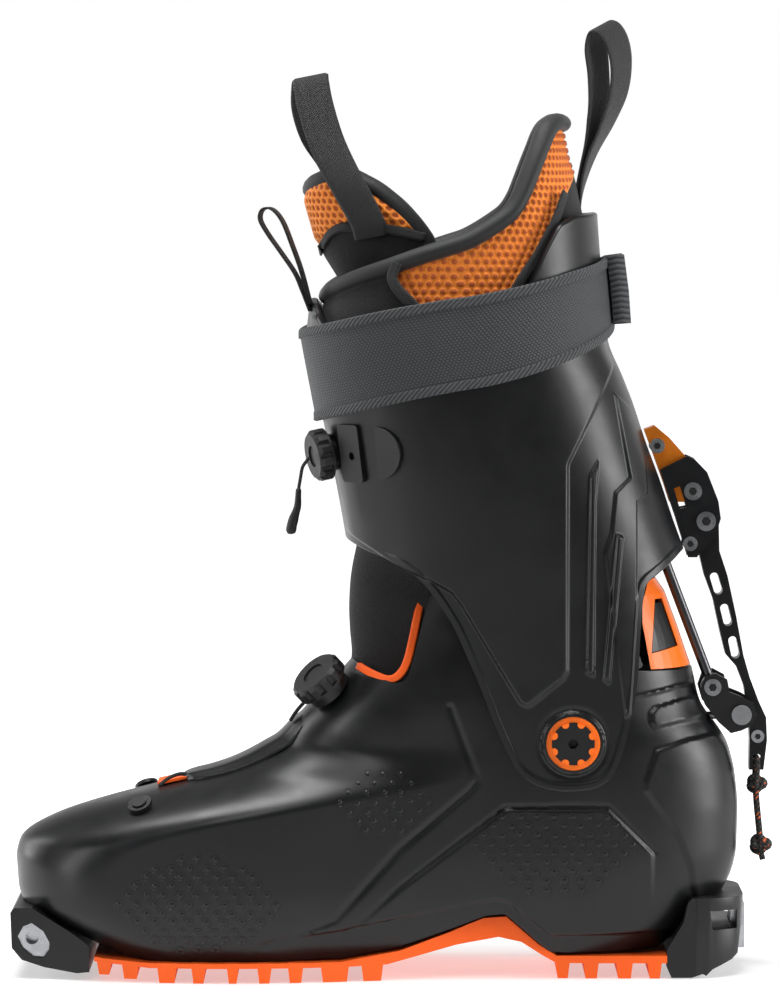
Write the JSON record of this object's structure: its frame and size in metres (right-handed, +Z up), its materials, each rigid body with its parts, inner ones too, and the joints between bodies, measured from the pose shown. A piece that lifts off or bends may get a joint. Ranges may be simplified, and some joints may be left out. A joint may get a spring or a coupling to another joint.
{
  "type": "alpine touring ski boot",
  "caption": "Left alpine touring ski boot with a plastic shell, pivoting cuff, removable liner, power strap, dial closures and a rear walk and ski lever.",
  "frame": {"origin": "on the ground, under the middle of the boot's overall box", "axes": "+X towards the heel, -X towards the toe, -Y towards the outer side of a left boot, +Z up"},
  "size_m": [0.3034, 0.1112, 0.3757],
  "materials": {
    "black_plastic": "satin moulded carbon-filled plastic",
    "soft_black": "matte",
    "orange_rubber": "matte moulded rubber",
    "orange_plastic": "satin",
    "orange_metal": "orange anodised",
    "black_metal": "black anodised",
    "dark_steel": "dark blued",
    "steel": "zinc plated",
    "liner_fabric": "black liner fabric over foam",
    "liner_mesh": "orange honeycomb mesh",
    "webbing": "woven webbing",
    "strap_web": "dark grey woven strap with twill edge bindings",
    "cord": "braided cord"
  },
  "bodies": {
    "root": {"lower_shell": "black_plastic", "throat_trim": "orange_rubber", "instep_gusset": "orange_rubber", "instep_flap": "black_plastic", "heel_spine": "orange_plastic", "spine_windows": "black_plastic", "outsole": "orange_rubber", "toe_block": "black_plastic", "heel_block": "black_plastic", "toe_insert": "steel", "heel_insert": "steel", "heel_insert_screw": "steel", "insole": "liner_fabric", "liner_foot": "liner_fabric", "liner_ankle": "liner_fabric", "heel_bracket": "black_plastic", "bracket_screw": "steel", "lock_pin": "steel", "pivot_bolts": "black_plastic", "instep_dial_base": "black_plastic", "instep_lace": "cord", "lace_anchors": "black_plastic", "strut_bolt": "steel"},
    "knob_instep": {"instep_spool": "black_plastic", "instep_dial_knob": "soft_black"},
    "strut": {"strut": "dark_steel", "strut_eye": "black_metal"},
    "cuff": {"cuff_shell": "black_plastic", "pivot_rings": "orange_plastic", "liner_heel": "liner_mesh", "liner_outer": "liner_mesh", "liner_shin": "liner_mesh", "liner_inner": "liner_mesh", "liner_tongue": "liner_mesh", "front_pull_loop": "webbing", "rear_pull_loop": "webbing", "ribbon_loop": "webbing", "power_strap": "strap_web", "strap_keeper": "strap_web", "cuff_dial_bracket": "black_plastic", "cuff_dial_pad": "black_plastic", "cuff_dial_base": "black_plastic", "cuff_lace": "cord", "cuff_lace_anchor": "black_plastic", "walk_plate": "orange_metal", "side_plates": "black_metal", "plate_bolts": "steel", "lever_axle": "steel"},
    "knob_cuff": {"cuff_dial_knob": "soft_black", "toggle_cord": "cord", "toggle_sleeve": "soft_black"},
    "lever": {"lever": "black_metal", "lever_bolt": "steel", "pull_cord": "cord", "cord_knots": "cord"}
  },
  "joints": [
    {"name": "cuff_pivot", "type": "hinge", "parent": "root", "child": "cuff", "pos_m": [0.072, 0, 0.095], "axis": [0, -1, 0], "range_deg": [-7.5, 28], "deforming": ["liner_ankle"]},
    {"name": "strut_pivot", "type": "hinge", "parent": "root", "child": "strut", "pos_m": [0.1287, 0, 0.114], "axis": [0, -1, 0], "range_deg": [-2, 4]},
    {"name": "walk_lever", "type": "hinge", "parent": "cuff", "child": "lever", "pos_m": [0.1261, 0, 0.18], "axis": [0, -1, 0], "range_deg": [0, 115]},
    {"name": "instep_dial", "type": "hinge", "parent": "root", "child": "knob_instep", "pos_m": [-0.0239, -0.0166, 0.1131], "axis": [-0.6231, -0.3618, 0.6934], "continuous": true},
    {"name": "cuff_dial", "type": "hinge", "parent": "cuff", "child": "knob_cuff", "pos_m": [-0.0227, -0.01914, 0.20826], "axis": [-0.9262, -0.3283, -0.1852], "continuous": true}
  ],
  "couplings": [
    {"joint": "strut_pivot", "follows": "cuff_pivot", "ratio": 0.1}
  ]
}
